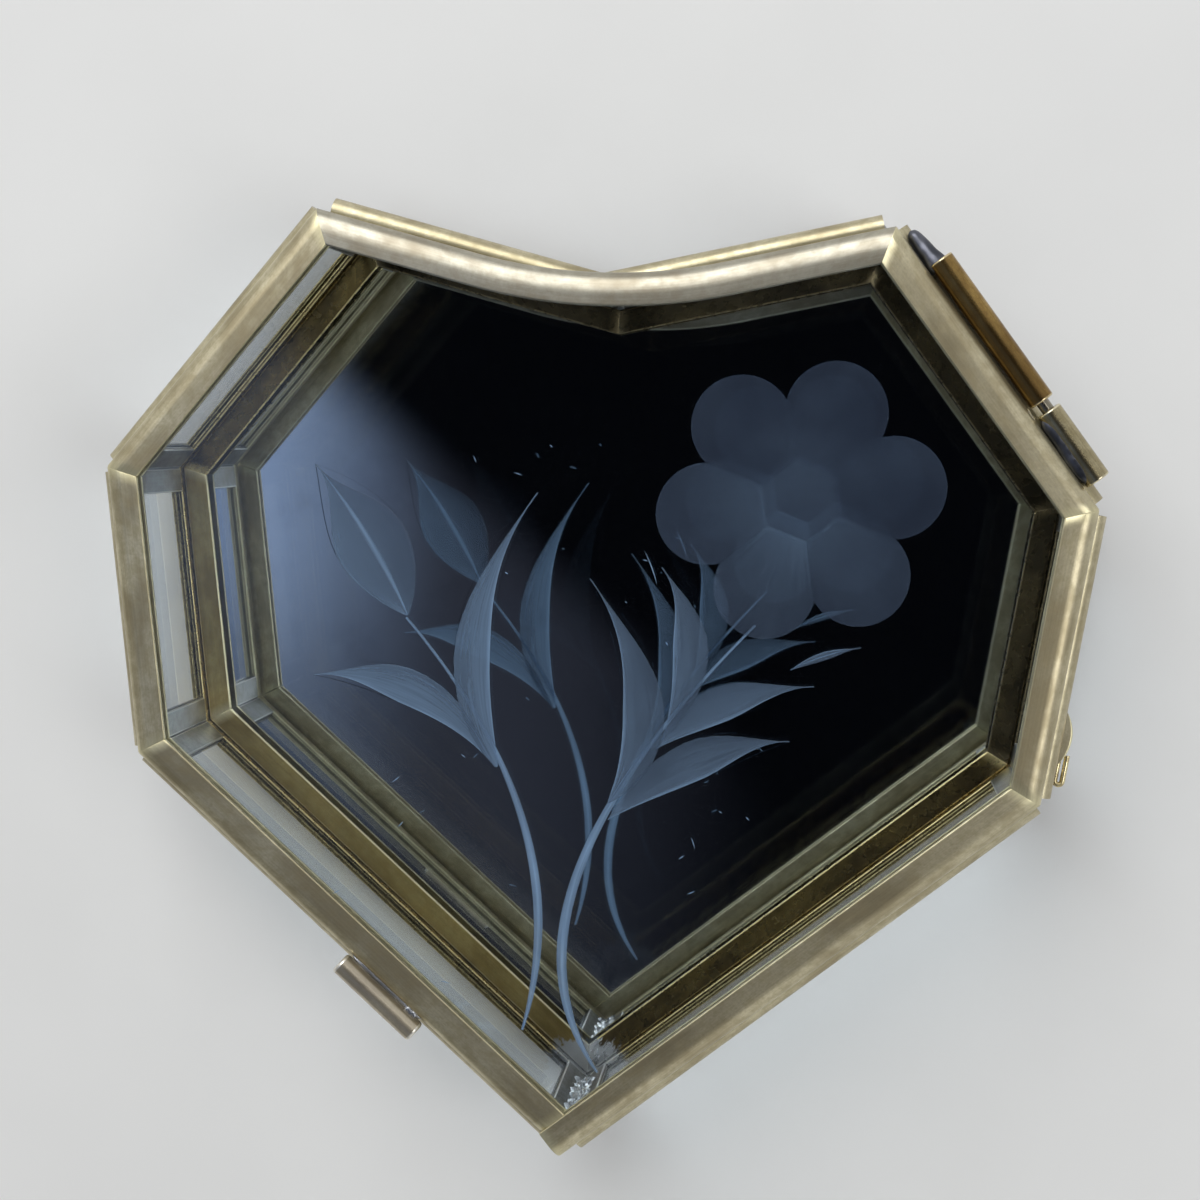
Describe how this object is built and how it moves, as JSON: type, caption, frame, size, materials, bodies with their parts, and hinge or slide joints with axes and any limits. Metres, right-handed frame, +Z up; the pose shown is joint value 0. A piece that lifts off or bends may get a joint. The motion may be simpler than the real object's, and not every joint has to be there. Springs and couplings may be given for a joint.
{
  "type": "hinged glass keepsake box",
  "caption": "Heart-shaped trinket box of clear glass panes in brass came, with a mirror floor and a wheel-cut glass lid that turns on a tube hinge.",
  "frame": {"origin": "middle of the bounding box at the surface that the box stands on", "axes": "+X to the right over the widest corners (the hinge side), +Y from the tip of the heart to its two lobes, +Z up out of the lid"},
  "size_m": [0.1266, 0.12, 0.0318],
  "materials": {
    "clear_glass": "polished clear sheet glass, the lid's top wheel-cut with a matt flower spray",
    "mirror_glass": "silvered at the back",
    "aged_brass": "satin, aged olive tan with paler rubbed edges",
    "inner_brass": "duller brown gold inside the box",
    "hinge_brass": "bright drawn tube, stained brown",
    "tinned_brass": "tinned grey at the soldered corners",
    "solder": "lumpy silver-grey soft solder",
    "pin_wire": "bright drawn wire"
  },
  "bodies": {
    "box": {"base_mirror": "mirror_glass", "base_came_back_right": "inner_brass", "base_came_upper_right": "inner_brass", "base_came_right": "inner_brass", "base_came_lower_right": "inner_brass", "base_came_lower_left": "inner_brass", "base_came_left": "inner_brass", "base_came_upper_left": "inner_brass", "base_came_back_left": "inner_brass", "wall_glass_back_right": "clear_glass", "wall_glass_upper_right": "clear_glass", "wall_glass_right": "clear_glass", "wall_glass_lower_right": "clear_glass", "wall_glass_lower_left": "clear_glass", "wall_glass_left": "clear_glass", "wall_glass_upper_left": "clear_glass", "wall_glass_back_left": "clear_glass", "rim_came_back_right": "aged_brass", "rim_came_upper_right": "aged_brass", "rim_came_right": "aged_brass", "rim_came_lower_right": "aged_brass", "rim_came_lower_left": "aged_brass", "rim_came_left": "aged_brass", "rim_came_upper_left": "aged_brass", "rim_came_back_left": "aged_brass", "foot_came_back_right": "inner_brass", "foot_came_upper_right": "inner_brass", "foot_came_right": "inner_brass", "foot_came_lower_right": "inner_brass", "foot_came_lower_left": "inner_brass", "foot_came_left": "inner_brass", "foot_came_upper_left": "inner_brass", "foot_came_back_left": "inner_brass", "end_cames_back_right": "tinned_brass", "end_cames_upper_right": "tinned_brass", "end_cames_right": "tinned_brass", "end_cames_lower_right": "tinned_brass", "end_cames_lower_left": "tinned_brass", "end_cames_left": "tinned_brass", "end_cames_upper_left": "tinned_brass", "end_cames_back_left": "tinned_brass", "box_hinge_knuckle": "hinge_brass", "hinge_pin": "pin_wire", "box_solder": "solder", "side_lug": "aged_brass", "side_loop": "pin_wire"},
    "lid": {"lid_glass": "clear_glass", "lid_came_curved_back": "aged_brass", "lid_came_upper_right": "aged_brass", "lid_came_right": "aged_brass", "lid_came_lower_right": "aged_brass", "lid_came_lower_left": "aged_brass", "lid_came_left": "aged_brass", "lid_came_upper_left": "aged_brass", "lid_handle_tube": "hinge_brass", "lid_hinge_knuckle": "hinge_brass", "lid_solder": "solder"}
  },
  "joints": [
    {"name": "lid_hinge", "type": "hinge", "parent": "box", "child": "lid", "pos_m": [0.04877, 0.0456, 0.0299], "axis": [-0.6189, 0.7855, 0], "range_deg": [0, 180]}
  ]
}
